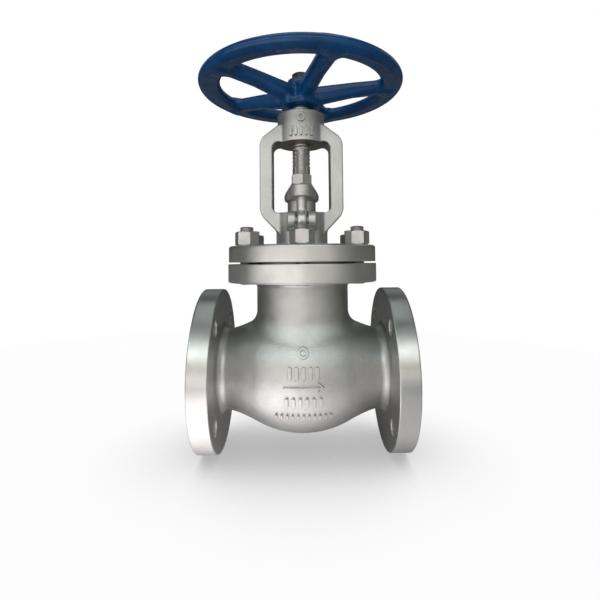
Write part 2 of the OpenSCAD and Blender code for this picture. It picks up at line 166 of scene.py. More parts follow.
def contour(field, xs, ys, zs, soft):
    """Dual contouring. Returns points, quads and point normals. soft is the reach of the normals, in
    millimetres, which shades each sharp edge as a small round."""
    grids = (xs, ys, zs)
    values = field(xs[:, None, None], ys[None, :, None], zs[None, None, :])
    cells = (len(ys) - 1, len(zs) - 1)
    owners, spots, ways = [], [], []
    for axis in range(3):
        low = np.take(values, range(values.shape[axis] - 1), axis)
        high = np.take(values, range(1, values.shape[axis]), axis)
        at = np.argwhere((low < 0) != (high < 0))
        v0 = low[tuple(at.T)]
        v1 = high[tuple(at.T)]
        a = np.stack([grids[k][at[:, k]] for k in range(3)], 1)
        span = grids[axis][at[:, axis] + 1] - grids[axis][at[:, axis]]
        t0, t1 = np.zeros(len(at)), np.ones(len(at))
        forward = v0 < 0
        for _ in range(CROSSING_PASSES):
            t = t0 + (t1 - t0) * v0 / (v0 - v1)
            p = a.copy()
            p[:, axis] += span * t
            v = field(p[:, 0], p[:, 1], p[:, 2])
            first = (v < 0) == (v0 < 0)
            t0, v0 = np.where(first, t, t0), np.where(first, v, v0)
            t1, v1 = np.where(first, t1, t), np.where(first, v1, v)
        across = ((axis + 1) % 3, (axis + 2) % 3)
        corners = []
        for du, dv in ((1, 1), (0, 1), (0, 0), (1, 0)):
            cell = at.copy()
            cell[:, across[0]] -= du
            cell[:, across[1]] -= dv
            corners.append((cell[:, 0] * cells[0] + cell[:, 1]) * cells[1] + cell[:, 2])
        owners.append(np.stack(corners, 1))
        spots.append(p)
        ways.append(forward)
    owners = np.concatenate(owners)
    spots = np.concatenate(spots)
    ways = np.concatenate(ways)
    slopes = gradient(field, spots, CROSSING_REACH)
    ids, index = np.unique(owners, return_inverse=True)
    index = index.reshape(owners.shape)
    count = len(ids)

    def gathered(v):
        return sum(np.bincount(index[:, c], v, count) for c in range(4))

    share = gathered(np.ones(len(spots)))
    centre = np.stack([gathered(spots[:, k]) for k in range(3)], 1) / share[:, None]
    square = np.empty((count, 3, 3))
    for i in range(3):
        for j in range(3):
            square[:, i, j] = gathered(slopes[:, i] * slopes[:, j])
    level = (slopes * spots).sum(1)
    target = np.stack([gathered(slopes[:, k] * level) for k in range(3)], 1)
    target -= np.einsum("nij,nj->ni", square, centre)
    square += np.eye(3) * CENTRE_PULL
    points = centre + np.linalg.solve(square, target[:, :, None])[:, :, 0]
    cell = np.stack([ids // (cells[0] * cells[1]), ids // cells[1] % cells[0], ids % cells[1]], 1)
    for k in range(3):
        points[:, k] = np.clip(points[:, k], grids[k][cell[:, k]], grids[k][cell[:, k] + 1])
    quads = np.where(ways[:, None], index, index[:, ::-1])
    return points, quads, gradient(field, points, soft)


def mesh_object(name, points, quads, normals, body, material, replaces):
    """A piece from millimetre points about the stem's axis, riding on a CAD body."""
    data = bpy.data.meshes.new(name)
    data.vertices.add(len(points))
    data.vertices.foreach_set("co", ((points + AXIS) * MM).astype(np.float32).ravel())
    data.loops.add(quads.size)
    data.loops.foreach_set("vertex_index", quads.astype(np.int32).ravel())
    data.polygons.add(len(quads))
    data.polygons.foreach_set("loop_start", np.arange(0, quads.size, quads.shape[1], dtype=np.int32))
    data.polygons.foreach_set("use_smooth", np.ones(len(quads), bool))
    data.update(calc_edges=True)
    data.validate()
    if len(data.vertices) == len(normals):
        data.normals_split_custom_set_from_vertices(normals.tolist())
    data.materials.append(material)
    piece = bpy.data.objects.new(name, data)
    bpy.context.scene.collection.objects.link(piece)
    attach(piece, body)
    if replaces:
        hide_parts(*replaces)


def cast(name, field, xs, ys, zs, body, material, slot, replaces, soft):
    """A piece that rides on a body, from its distance field on a grid."""
    points, quads, normals = contour(field, xs, ys, zs, soft)
    mesh_object(name, points, quads, normals, body, material, replaces)


# ---------------------------------------------------------------- materials


# Where the paint's turned rims and its painted shade start and where they are complete, in metres
BONNET_RIM_RADII = (0.0855, 0.088)
BONNET_RIM_HEIGHTS = (0.100, 0.1035)
END_RIM_RADII = (0.0915, 0.0945)
END_RIM_START = (0.090, 0.095)
END_FACE_SHADE_LIMITS = (0.11, 0.105)
YOKE_HEIGHTS = (0.20, 0.22)


class Nodes:
    """Short calls for building a node material."""

    def __init__(self, name):
        self.material = bpy.data.materials.new(name)
        self.material.use_nodes = True
        self.tree = self.material.node_tree
        self.shader = self.tree.nodes["Principled BSDF"]
        self.place = self.tree.nodes.new("ShaderNodeTexCoord").outputs["Object"]

    def add(self, kind, **inputs):
        """A shader node, with its inputs given as values or as other nodes' outputs."""
        node = self.tree.nodes.new("ShaderNode" + kind)
        for key, value in inputs.items():
            self.feed(node.inputs[key.replace("_", " ")], value)
        return node

    def feed(self, socket, value):
        if isinstance(value, bpy.types.NodeSocket):
            self.tree.links.new(value, socket)
        else:
            socket.default_value = value

    def math(self, operation, a, b=0.0):
        node = self.tree.nodes.new("ShaderNodeMath")
        node.operation = operation
        self.feed(node.inputs[0], a)
        self.feed(node.inputs[1], b)
        return node.outputs[0]

    def noise(self, scale, detail=3.0, rough=0.5, stretch=None):
        place = self.place
        if stretch:
            node = self.tree.nodes.new("ShaderNodeVectorMath")
            node.operation = "MULTIPLY"
            self.feed(node.inputs[0], place)
            node.inputs[1].default_value = stretch
            place = node.outputs[0]
        return self.add("TexNoise", Vector=place, Scale=scale, Detail=detail, Roughness=rough).outputs["Fac"]

    def ramp(self, value, low, high, to_low=0.0, to_high=1.0):
        """A smooth step: to_low at low and to_high at high."""
        node = self.add("MapRange", Value=value)
        node.interpolation_type = "SMOOTHSTEP"
        for key, v in zip(("From Min", "From Max", "To Min", "To Max"), (low, high, to_low, to_high)):
            self.feed(node.inputs[key], v)
        return node.outputs["Result"]

    def mix(self, factor, a, b):
        node = self.tree.nodes.new("ShaderNodeMix")
        node.data_type = "RGBA"
        self.feed(node.inputs["Factor"], factor)
        self.feed(node.inputs[6], a)
        self.feed(node.inputs[7], b)
        return node.outputs[2]

    def bump(self, height, strength, distance, under=None):
        node = self.add("Bump", Height=height, Strength=strength, Distance=distance)
        if under is not None:
            self.tree.links.new(under, node.inputs["Normal"])
        return node.outputs["Normal"]

    def edges(self):
        """About 0.5 on flat faces, more on convex edges and less in corners."""
        return self.add("NewGeometry").outputs["Pointiness"]

    def parts(self, vector):
        """The x, y and z of a vector."""
        node = self.tree.nodes.new("ShaderNodeSeparateXYZ")
        self.tree.links.new(vector, node.inputs[0])
        return node.outputs

    def hypotenuse(self, a, b):
        return self.math("SQRT", self.math("ADD", self.math("MULTIPLY", a, a), self.math("MULTIPLY", b, b)))

    def turned_rims(self, x, y, z):
        """1 on the turned rims of the four flanges, and 0 on the cast skin. x counts from the stem's axis."""
        upright = self.hypotenuse(x, y)
        lying = self.hypotenuse(y, z)
        top = self.math("MULTIPLY", self.ramp(upright, *BONNET_RIM_RADII), self.ramp(z, *BONNET_RIM_HEIGHTS))
        outward = self.ramp(self.math("ABSOLUTE", x), *END_RIM_START)
        ends = self.math("MULTIPLY", self.ramp(lying, *END_RIM_RADII), outward)
        return self.math("MINIMUM", self.math("ADD", top, ends), 1.0)

    def set(self, **inputs):
        for key, value in inputs.items():
            self.feed(self.shader.inputs[key.replace("_", " ")], value)
        return self.material


def grey(v, warm=0.0):
    """A grey of value v, with a share of warmth."""
    return (v * (1 + warm), v, v * (1 - warm), 1)


def aluminium_paint(name, outline=0.0):
    """Sprayed aluminium paint over a sand casting, with painted shade in its corners, under the yoke's top
    and on the end flanges' inner faces. An outline of painted shade darkens the edges of raised marks.
    """
    fresh, worn = (0.71, 0.70, 0.67, 1), (0.60, 0.61, 0.59, 1)
    flake, polished = (0.36, 0.36, 0.35, 1), (0.80, 0.80, 0.78, 1)
    grime_and_shade, mark_edge_shade = (0.17, 0.16, 0.15, 1), (0.20, 0.19, 0.18, 1)
    underside_shade, inner_face_shade = (0.13, 0.105, 0.09, 1), (0.15, 0.145, 0.14, 1)
    m = Nodes(name)
    blotch = m.ramp(m.noise(26, 4, 0.6), 0.3, 0.72)
    grain = m.noise(1400, 2, 0.6)
    colour = m.mix(blotch, worn, fresh)
    colour = m.mix(m.math("MULTIPLY", m.ramp(grain, 0.45, 0.62), 0.16), colour, flake)
    # Painted shade in concave corners and fillets, where pointiness is low
    colour = m.mix(m.ramp(m.edges(), 0.38, 0.465, 0.6, 0.0), colour, grime_and_shade)
    # Painted shade along the edges of raised marks, as strong as the outline asks
    colour = m.mix(m.ramp(m.edges(), 0.52, 0.60, 0.0, outline), colour, mark_edge_shade)
    facing_x, _, facing_z = m.parts(m.add("NewGeometry").outputs["Normal"])
    x, y, z = m.parts(m.place)
    x = m.math("SUBTRACT", x, float(AXIS[0]) * MM)
    # Painted shade on the underside of the yoke's top
    shaded_underside = m.math("MULTIPLY", m.ramp(facing_z, -0.35, -0.9), m.ramp(z, *YOKE_HEIGHTS))
    colour = m.mix(m.math("MULTIPLY", shaded_underside, 0.85), colour, underside_shade)
    # Painted shade on the inner faces of the end flanges
    sideways = m.ramp(m.math("ABSOLUTE", facing_x), 0.75, 0.95)
    outward = m.math("ABSOLUTE", x)
    behind_rim = m.math("MULTIPLY", m.ramp(outward, *END_RIM_START), m.ramp(outward, *END_FACE_SHADE_LIMITS))
    colour = m.mix(m.math("MULTIPLY", m.math("MULTIPLY", sideways, behind_rim), 0.55), colour, inner_face_shade)
    machined = m.turned_rims(x, y, z)
    colour = m.mix(m.math("MULTIPLY", machined, 0.2), colour, polished)
    rough = m.math("ADD", m.ramp(m.noise(60, 3), 0.3, 0.7, 0.35, 0.41), m.math("MULTIPLY", grain, 0.08))
    rough = m.math("SUBTRACT", rough, m.math("MULTIPLY", machined, 0.10))
    skin = m.bump(m.noise(70, 3, 0.55), m.ramp(machined, 0, 1, 0.28, 0.0), 0.0014)
    skin = m.bump(m.noise(560, 3, 0.6), m.ramp(machined, 0, 1, 0.55, 0.12), 0.0004, skin)
    return m.set(Base_Color=colour, Metallic=0.92, Roughness=rough, Normal=skin)


def blue_enamel():
    """Thick brushed enamel on a cast iron wheel."""
    m = Nodes("blue_enamel")
    blotch = m.ramp(m.noise(40, 4, 0.6), 0.3, 0.75)
    colour = m.mix(blotch, (0.0007, 0.044, 0.145, 1), (0.001, 0.072, 0.235, 1))
    dust = m.math("MULTIPLY", m.ramp(m.noise(320, 4, 0.7), 0.55, 0.75), 0.04)
    colour = m.mix(dust, colour, (0.05, 0.16, 0.28, 1))
    skin = m.bump(m.noise(70, 2, 0.5), 0.6, 0.0022)
    skin = m.bump(m.noise(420, 2, 0.5), 0.2, 0.0003, skin)
    rough = m.ramp(m.noise(90, 3), 0.3, 0.7, 0.26, 0.38)
    return m.set(Base_Color=colour, Roughness=rough, Normal=skin, Specular_IOR_Level=0.12,
                 Coat_Weight=0.5, Coat_Roughness=0.07)


def turned_steel(name, light, grime_and_shade, roughness, lines=2600.0):
    """Steel with fine turning lines around the upright axis, random smudges, and painted shade in its
    corners.
    """
    m = Nodes(name)
    streak = m.noise(1.0, 3, 0.6, (60, 60, lines))
    smudge = m.ramp(m.noise(110, 4, 0.65), 0.4, 0.72)
    colour = m.mix(m.math("MULTIPLY", smudge, grime_and_shade), grey(light, 0.02), grey(light * 0.3, 0.12))
    # Painted shade in the corners, where pointiness is low
    colour = m.mix(m.ramp(m.edges(), 0.40, 0.49, 0.75, 0.0), colour, grey(light * 0.15, 0.15))
    matt = m.math("ADD", m.math("MULTIPLY", smudge, 0.14), roughness)
    rough = m.math("ADD", m.math("MULTIPLY", streak, 0.14), matt)
    skin = m.bump(streak, 0.22, 0.00008)
    skin = m.bump(m.noise(260, 3), 0.12, 0.0003, skin)
    return m.set(Base_Color=colour, Metallic=0.95, Roughness=rough, Normal=skin)


def dull_bronze():
    """Bronze with brown stains and turning lines."""
    m = Nodes("dull_bronze")
    stain = m.ramp(m.noise(140, 4, 0.65), 0.38, 0.7)
    colour = m.mix(stain, (0.26, 0.19, 0.12, 1), (0.09, 0.065, 0.045, 1))
    skin = m.bump(m.noise(1.0, 3, 0.6, (60, 60, 2400)), 0.2, 0.0001)
    return m.set(Base_Color=colour, Metallic=0.8, Roughness=m.ramp(stain, 0, 1, 0.34, 0.55), Normal=skin)


def graphite():
    """Matt graphite with a fine weave."""
    m = Nodes("graphite")
    weave = m.noise(900, 3, 0.7)
    colour = m.mix(weave, grey(0.02), grey(0.07))
    return m.set(Base_Color=colour, Metallic=0.2, Roughness=0.62, Normal=m.bump(weave, 0.5, 0.0003))


paint = aluminium_paint("aluminium_paint")
# The raised marks' paint, with painted shade along their edges
mark_paint = aluminium_paint("raised_mark_paint", 0.75)
enamel = blue_enamel()
nut_metal = turned_steel("painted_nut_steel", 0.66, 0.15, 0.30, 900.0)
stud_metal = turned_steel("stud_steel", 0.66, 0.35, 0.34)
stem_metal = turned_steel("stem_steel", 0.70, 0.45, 0.34)
gland_metal = turned_steel("gland_steel", 0.62, 0.50, 0.38, 700.0)
bolt_metal = turned_steel("eyebolt_steel", 0.72, 0.15, 0.28)
trim_metal = turned_steel("trim_steel", 0.60, 0.10, 0.22)
dark_metal = turned_steel("blackened_steel", 0.09, 0.60, 0.40, 700.0)
bronze = dull_bronze()
soft_graphite = graphite()

# ---------------------------------------------------------------- body casting

FLANGE_R = body_high[1]
FACE_X = body_high[0]
RAISED_FACE_H = 1.6
END_FLANGE_T = 22.4
BELLY_R = 73.6
BELLY_ARC_R = 115.0
BELLY_WALL = 9.0
END_NECK_R = 46.5
NECK_R = 55.4
NECK_BORE_R = 46.0
PORT_R = 38.0
BODY_FLANGE_R = 89.9
BODY_FLANGE_T = 21.5
GASKET_R = 62.0
STUD_CIRCLE_R = 73.5
STUD_R = 8.0
STUD_ANGLES = [270 + 60 * i for i in range(6)]
# Radial play around a screw, pin, bush or ring, and the rounding of flange edges, outside and at the gap
FIT_PLAY = 0.05
EDGE = 1.3
GAP_EDGE = 0.5
RAISED_FACE_R = 63.5
DRAIN_BOSS_R = 7.0
DRAIN_BOSS_H = 1.6
SEAT_RING_R = 42.0
END_BOLT_CIRCLE_R = 76.2
END_BOLT_HOLE_R = 9.525
# Section of the wall that parts inlet from outlet: down from the roof of the inlet, level around the seat,
# and down to the floor of the outlet
SEAT_WALL = [(-71.5, 46), (-54, -7), (44.6, -7), (62, -46), (71.5, -46), (54, 4), (-44.6, 4), (-62, 46)]

rim_x = FACE_X - RAISED_FACE_H
back_x = rim_x - END_FLANGE_T
body_top = body_high[2]
body_flange_low = body_top - BODY_FLANGE_T
belly_offset = BELLY_ARC_R - BELLY_R


def belly(x, rho, inset=0.0):
    """Distance to the round belly, or to one that is inset from it. rho counts from the flow axis."""
    return length(x, rho + belly_offset) - BELLY_ARC_R + inset


def stud_holes(x, y, r):
    """Distance to the nearest of the bonnet's stud holes, which have no ends."""
    holes = np.inf
    for angle in STUD_ANGLES:
        cx = STUD_CIRCLE_R * math.cos(math.radians(angle))
        cy = STUD_CIRCLE_R * math.sin(math.radians(angle))
        holes = np.minimum(holes, length(x - cx, y - cy) - r)
    return holes


def body_field(x, y, z):
    """Belly, end flanges, neck and bonnet flange, less the flow space and the holes."""
    rho, rad, ax = length(y, z), length(x, y), np.abs(x)
    outside = fillet(belly(x, rho), np.maximum(rho - END_NECK_R, ax - 110), 14)
    outside = fillet(outside, np.maximum(np.maximum(rad - NECK_R, z - body_flange_low - 2), -z), 9)
    end = common(rho - FLANGE_R, between(ax, back_x, rim_x), EDGE)
    outside = fillet(outside, end, 10)
    raised = common(rho - RAISED_FACE_R, between(ax, back_x + 5, FACE_X), 0.5)
    outside = np.minimum(outside, raised)
    top = plate(rad, BODY_FLANGE_R, z, body_flange_low, body_top, EDGE, GAP_EDGE)
    outside = fillet(outside, top, 7)
    drain_boss = common(rad - DRAIN_BOSS_R, between(z, -BELLY_R - DRAIN_BOSS_H, -BELLY_R + 10), 0.8)
    outside = fillet(outside, drain_boss, 1.5)
    space = fillet(belly(x, rho, BELLY_WALL), rho - PORT_R, 6)
    space = fillet(space, np.maximum(rad - NECK_BORE_R, 30 - z), 6)
    space = common(space, -polygon(x, z, SEAT_WALL), 3)
    space = np.minimum(space, np.maximum(rad - SEAT_RING_R - FIT_PLAY, np.abs(z + 1) - 12))
    space = np.minimum(space, np.maximum(rad - GASKET_R - 0.5, body_top - 5 - z))
    at = END_BOLT_CIRCLE_R * math.sqrt(0.5)
    holes = length(np.abs(y) - at, np.abs(z) - at) - END_BOLT_HOLE_R
    holes = np.maximum(holes, 85 - ax)
    threads = np.maximum(stud_holes(x, y, STUD_R + FIT_PLAY), 60 - z)
    return np.maximum(np.maximum(outside, -space), np.maximum(-holes, -threads))


GRID_MARGIN = 4.0
face_side = FACE_X + GRID_MARGIN
rim_side = FLANGE_R + GRID_MARGIN
body_xs = spaced((-face_side, 1.0), (-back_x + 3, 2.0), (back_x - 3, 1.0), (face_side, 1.0))
body_ys = spaced((-rim_side, 1.8), (rim_side, 1.8))
body_zs = spaced((-rim_side, 1.8), (body_flange_low - 3, 1.2), (body_top - 2, 0.6), (body_top + 2, 0.6))
cast("body", body_field, body_xs, body_ys, body_zs, "casing", paint, "cast_body", ("body_casting",), 0.6)

# ---------------------------------------------------------------- raised marks

MARK_HEIGHT = 2.3
MARK_STEP = 0.45
BOSS_R = 29.2


def stroke(x, z, cx, cz, w, h, r):
    """A bar with round ends."""
    return length(np.maximum(np.abs(x - cx) - w / 2, 0), np.maximum(np.abs(z - cz) - h / 2, 0)) - r


def stroke_row(x, z, cz, count, pitch, h, r):
    """Plain upright strokes in a row that is centred on the stem."""
    middle = (count - 1) / 2
    nearest = np.clip(np.round(x / pitch + middle), 0, count - 1)
    return stroke(x, z, (nearest - middle) * pitch, cz, 0, h, r)


def ring_mark(x, z, cz, radius, r):
    """A ring at height cz, r being half the width of its line."""
    return np.abs(length(x, z - cz) - radius) - r


def flow_arrow(x, z, cz, half_length, r):
    """A level arrow that points along the flow."""
    shaft = stroke(x, z, 0, cz, 2 * half_length, 0, r)
    head = 5
    back, aside = x - half_length, np.abs(z - cz)
    t = np.clip((aside - back) / 2, 0, head)
    return np.minimum(shaft, length(back + t, aside - t) - r)


def belly_marks(x, y, z):
    """Ring, strokes, flow arrow and two more rows of strokes, from the top down."""
    flat = ring_mark(x, z, 31, 4.6, 1.4)
    flat = np.minimum(flat, stroke_row(x, z, 10, 5, 7.4, 10, 2.1))
    flat = np.minimum(flat, flow_arrow(x, z, -5, 21, 1.0))
    flat = np.minimum(flat, stroke_row(x, z, -21.5, 6, 7.4, 8, 1.9))
    flat = np.minimum(flat, stroke_row(x, z, -39, 11, 6, 3.8, 1.3))
    return common(flat, np.abs(belly(x, length(y, z))) - MARK_HEIGHT, 0.3)


def boss_marks(x, y, z):
    """A ring above a row of strokes."""
    flat = ring_mark(x, z, 300.5, 4.2, 1.4)
    flat = np.minimum(flat, stroke_row(x, z, 283.5, 5, 6.4, 7.5, 1.7))
    return common(flat, np.abs(length(x, y) - BOSS_R) - MARK_HEIGHT, 0.3)


def cast_marks(name, field, x_range, y_range, z_range):
    """Marks that stand on a casting. They replace no CAD node."""
    grids = [spaced((low, MARK_STEP), (high, MARK_STEP)) for low, high in (x_range, y_range, z_range)]
    cast(name, field, *grids, "casing", mark_paint, "cast_body", (), 0.3)


cast_marks("belly_cast_marks", belly_marks, (-34, 34), (-76, -48), (-47, 39))
cast_marks("boss_cast_marks", boss_marks, (-16, 16), (-31.5, -22), (275, 307))

# ---------------------------------------------------------------- bonnet and yoke

BONNET_FLANGE_R = bonnet_high[1]
BONNET_FLANGE_T = 19.2
RIM_GAP = 2.1
BONNET_NECK_R = 31.6
YOKE_HALF_DEPTH = 17.5
YOKE_HALF_W = 50.5
WINDOW_HALF_W = 34.9
WINDOW_LOW = 187.0
WINDOW_HIGH = 273.6
BOX_R = 17.5
BUSH_R = 15.0
EYE_Y = 38.0
EYE_Z = 176.0
LUG_IN, LUG_OUT, LUG_R = 7.4, 16.3, 10.5
PIN_R = 5.0
STEM_BORE_R = 11.6
BACKSEAT_BORE_R = 18.05
BUSH_SCREW_Z = 300.0
BUSH_SCREW_R = 3.0

bonnet_rim = body_top + RIM_GAP
bonnet_top = bonnet_rim + BONNET_FLANGE_T
boss_top = bonnet_high[2]


def yoke_field(x, y, z):
    """Two flat arms around a window, with sloping shoulders above and below."""
    ax = np.abs(x)
    outer = common(ax - YOKE_HALF_W, slope(ax, z, 46.8, 182, -43.3), 5)
    outer = common(outer, slope(ax, z, 44.5, 281.8, 52.4), 6)
    outer = np.maximum(outer, between(z, 150, 295))
    window = common(ax - WINDOW_HALF_W, between(z, WINDOW_LOW, WINDOW_HIGH), 7.5)
    outline = np.maximum(outer, -window)
    return common(outline, np.abs(y) - YOKE_HALF_DEPTH, 1.8)


def bonnet_field(x, y, z):
    """Flange, neck, yoke, boss and the eyebolts' lugs, less the bores, the lugs' slots and the holes."""
    rad, ax, ay = length(x, y), np.abs(x), np.abs(y)
    flange = plate(rad, BONNET_FLANGE_R, z, bonnet_rim, bonnet_top, GAP_EDGE, 2.8)
    spigot = np.maximum(rad - GASKET_R, between(z, bonnet_low[2], bonnet_rim + 4))
    neck = common(rad - BONNET_NECK_R, between(z, bonnet_top - 8, WINDOW_LOW), 2)
    shape = fillet(neck, yoke_field(x, y, z), 2)
    boss = common(rad - BOSS_R, between(z, WINDOW_HIGH - 1, boss_top), 1.4)
    shape = fillet(shape, boss, 1.5)
    dy, dz = ay - EYE_Y, z - EYE_Z
    lug = np.where(dy > 0, length(dy, dz), np.abs(dz)) - LUG_R
    lug = np.maximum(lug, 20 - ay)
    lug = common(lug, between(ax, LUG_IN, LUG_OUT), 1.5)
    shape = fillet(shape, lug, 3)
    shape = fillet(shape, flange, 4)
    shape = np.minimum(shape, spigot)
    bore = np.maximum(rad - STEM_BORE_R, between(z, 100, 320))
    bore = np.minimum(bore, np.maximum(rad - BACKSEAT_BORE_R, z - 139))
    bore = np.minimum(bore, common(rad - BOX_R, between(z, 145, WINDOW_LOW + 9), 0.5))
    bore = np.minimum(bore, np.maximum(rad - BUSH_R - FIT_PLAY, WINDOW_HIGH - 4 - z))
    room = np.maximum(ax - LUG_IN + 0.2, between(ay, EYE_Y - 12, EYE_Y + 16))
    room = common(room, between(z, EYE_Z - 12.5, EYE_Z + 13.5), 1.5)
    pins = np.maximum(length(dy, dz) - PIN_R - FIT_PLAY, ax - 25)
    screw = np.maximum(length(x, z - BUSH_SCREW_Z) - BUSH_SCREW_R - FIT_PLAY, -y)
    holes = np.maximum(stud_holes(x, y, STUD_R + 1), z - bonnet_top - 5)
    cuts = np.minimum(np.minimum(bore, room), np.minimum(np.minimum(pins, screw), holes))
    return np.maximum(shape, -cuts)


bonnet_side = BONNET_FLANGE_R + GRID_MARGIN
bonnet_foot = bonnet_low[2] - 3
bonnet_xs = spaced((-bonnet_side, 1.6), (-54, 1.1), (54, 1.6), (bonnet_side, 1.6))
bonnet_ys = spaced((-bonnet_side, 1.6), (-52, 1.1), (52, 1.6), (bonnet_side, 1.6))
bonnet_zs = spaced((bonnet_foot, 1.1), (bonnet_rim - 1, 0.6), (bonnet_rim + 2, 1.1), (boss_top + 3, 1.1))
cast("bonnet", bonnet_field, bonnet_xs, bonnet_ys, bonnet_zs, "casing", paint, "cast_body",
     ("bonnet_casting",), 0.5)

# ---------------------------------------------------------------- handwheel

RIM_HALF_W = 13.0
RIM_HALF_H = 9.0
RIM_R = wheel_high[0] - RIM_HALF_W
RIM_Z = 347.1
HUB_R = 16.4
HUB_H = 35.4
SKIRT_R = 25.4
SKIRT_H = 8.5
SPOKE_COUNT = 5
HUB_SQUARE_HALF_W = 7.6
# The spoke's lower side, upper side and half width at distances from the stem's axis
SPOKE_PROFILE = (
    (11.5, 323, 345, 10.0), (30, 326.5, 347, 9.8), (65, 334, 351, 9.5), (111, 339.8, 354.2, 11.5)
)
hub_low, hub_high = wheel_low[2], wheel_low[2] + HUB_H


def rim_field(rad, z):
    """An oval rim with a shallow channel between two beads along its underside."""
    u, v = rad - RIM_R, z - RIM_Z
    skew = RIM_HALF_W / RIM_HALF_H
    oval = (length(u, v * skew) - RIM_HALF_W) / skew ** 0.5
    channel = common(np.abs(u + 1) - 6.0, np.abs(v + RIM_HALF_H) - 1.3, 1.2)
    return common(oval, -channel, 0.8)


def spoke_field(along, across, z):
    """A spoke that is deep at the hub, rounded on top and keeled below."""
    stops, lows, highs, widths = zip(*SPOKE_PROFILE)
    low, high, half_w = (np.interp(along, stops, v) for v in (lows, highs, widths))
    middle, half_h = (low + high) / 2, (high - low) / 2
    narrowing = np.clip((middle - z) / half_h, 0, 1)
    side = np.abs(across) - half_w * (1 - 0.35 * narrowing)
    arm = common(side, np.abs(z - middle) - half_h, 4.5)
    return np.maximum(arm, np.maximum(8 - along, along - RIM_R))


def wheel_field(x, y, z):
    """Hub and skirt, spokes and rim, with the stem's square through the hub."""
    rad = length(x, y)
    hub = common(rad - HUB_R, between(z, hub_low, hub_high), 2)
    skirt = common(rad - SKIRT_R, between(z, hub_low, hub_low + SKIRT_H), 2.6)
    hub = fillet(hub, skirt, 4)
    arms = np.inf
    for i in range(SPOKE_COUNT):
        a = math.radians(360 / SPOKE_COUNT * i)
        along = x * math.cos(a) + y * math.sin(a)
        across = -x * math.sin(a) + y * math.cos(a)
        arms = np.minimum(arms, spoke_field(along, across, z))
    wheel = fillet(hub, arms, 6)
    wheel = fillet(wheel, rim_field(rad, z), 8)
    square = np.maximum(np.abs(x), np.abs(y)) - HUB_SQUARE_HALF_W
    return np.maximum(wheel, -square)


reach = RIM_R + RIM_HALF_W + 3
wheel_grid = spaced((-reach, 1.25), (reach, 1.25))
wheel_zs = spaced((hub_low - 3, 1.0), (RIM_Z + RIM_HALF_H + 3, 1.0))
cast("handwheel_casting", wheel_field, wheel_grid, wheel_grid, wheel_zs, "spindle", enamel, "wheel_enamel",
     ("handwheel",), 0.6)

# ---------------------------------------------------------------- nuts

NUT_STEP = 0.62
NUT_MARGIN = 1.5
M12_BORE_R = 6.05
NUT_TURNS = [0, -5, 14, 22, -11, -7]


def nut_field(flats, low, high, bore_r, turn, at):
    """The field of one bevelled hexagon nut."""
    bevel_angle = math.radians(30)
    mouth_angle = math.radians(45)

    def field(x, y, z):
        px, py = x - at[0], y - at[1]
        rad = length(px, py)
        body = common(hexagon(px, py, flats, turn), between(z, low, high), 0.3)
        for end, way in ((high, 1), (low, -1)):
            bevel = (rad - flats * 0.475) * math.sin(bevel_angle) + (z - end) * way * math.cos(bevel_angle)
            body = common(body, bevel, 0.3)
            mouth = (rad - bore_r - 0.9) * math.sin(mouth_angle) + (end - z) * way * math.cos(mouth_angle)
            body = np.maximum(body, -mouth)
        return np.maximum(body, bore_r - rad)

    return field


def nuts(name, node, body, material, flats, box, bore_r, spots):
    """One piece that holds a nut at each (x, y, turn) spot, as high as the box of its CAD node."""
    low, high = box[0][2], box[1][2]
    reach = flats / math.sqrt(3) + NUT_MARGIN
    zs = spaced((low - NUT_MARGIN, NUT_STEP), (high + NUT_MARGIN, NUT_STEP))
    points, quads, normals = [], [], []
    base = 0
    for x, y, turn in spots:
        xs = spaced((x - reach, NUT_STEP), (x + reach, NUT_STEP))
        ys = spaced((y - reach, NUT_STEP), (y + reach, NUT_STEP))
        p, q, n = contour(nut_field(flats, low, high, bore_r, turn, (x, y)), xs, ys, zs, 0.35)
        points.append(p)
        quads.append(q + base)
        normals.append(n)
        base += len(p)
    points, quads, normals = (np.concatenate(v) for v in (points, quads, normals))
    mesh_object(name, points, quads, normals, body, material, (node,))


on_circle = [
    (STUD_CIRCLE_R * math.cos(math.radians(a)), STUD_CIRCLE_R * math.sin(math.radians(a)), turn)
    for a, turn in zip(STUD_ANGLES, NUT_TURNS)
]
nuts("bonnet_nut_set", "bonnet_nuts", "casing", nut_metal, 24, bonnet_nut_box, STUD_R, on_circle)
for tag, nut_y in (("front", -EYE_Y), ("rear", EYE_Y)):
    nuts(f"{tag}_gland_nut", f"gland_nut_{tag}", f"{tag}_nut", nut_metal, 22, gland_nut_box,
         M12_BORE_R, [(0, nut_y, 35)])
nuts("wheel_nut", "handwheel_nut", "spindle", dark_metal, 19, wheel_nut_box, M12_BORE_R,
     [(0, 0, 12)])

# ---------------------------------------------------------------- gland flange and eyebolts

GLAND_R = 22.2
GLAND_EAR_T = 14.0
EAR_R = 13.0
EAR_HOLE_R = 6.5
GLAND_BORE_R = 11.8
GLAND_STEP = 0.7


def gland_field(x, y, z):
    """A round flange that tapers to its top, with an ear for each eyebolt."""
    low = gland_low[2]
    rad, ay = length(x, y), np.abs(y)
    cone = common(rad - GLAND_R, slope(rad, z, 19.2, low + 11.8, 31.6), 3)
    cone = common(cone, slope(rad, z, 21, low + 1.5, -22), 2)
    cone = common(cone, between(z, low, gland_high[2]), 0.8)
    ears = length(x, np.maximum(ay - EYE_Y, 0)) - EAR_R
    ears = common(ears, between(z, low, low + GLAND_EAR_T), 1.8)
    shape = fillet(cone, ears, 2.5)
    cuts = np.minimum(length(x, ay - EYE_Y) - EAR_HOLE_R, rad - GLAND_BORE_R)
    return common(shape, -cuts, 0.5)


gland_xs = spaced((-25, GLAND_STEP), (25, GLAND_STEP))
gland_ys = spaced((-54, GLAND_STEP), (54, GLAND_STEP))
gland_zs = spaced((gland_low[2] - 2, GLAND_STEP), (gland_high[2] + 2, GLAND_STEP))
cast("gland_flange_casting", gland_field, gland_xs, gland_ys, gland_zs, "gland", gland_metal, "gland_steel",
     ("gland_flange",), 0.5)

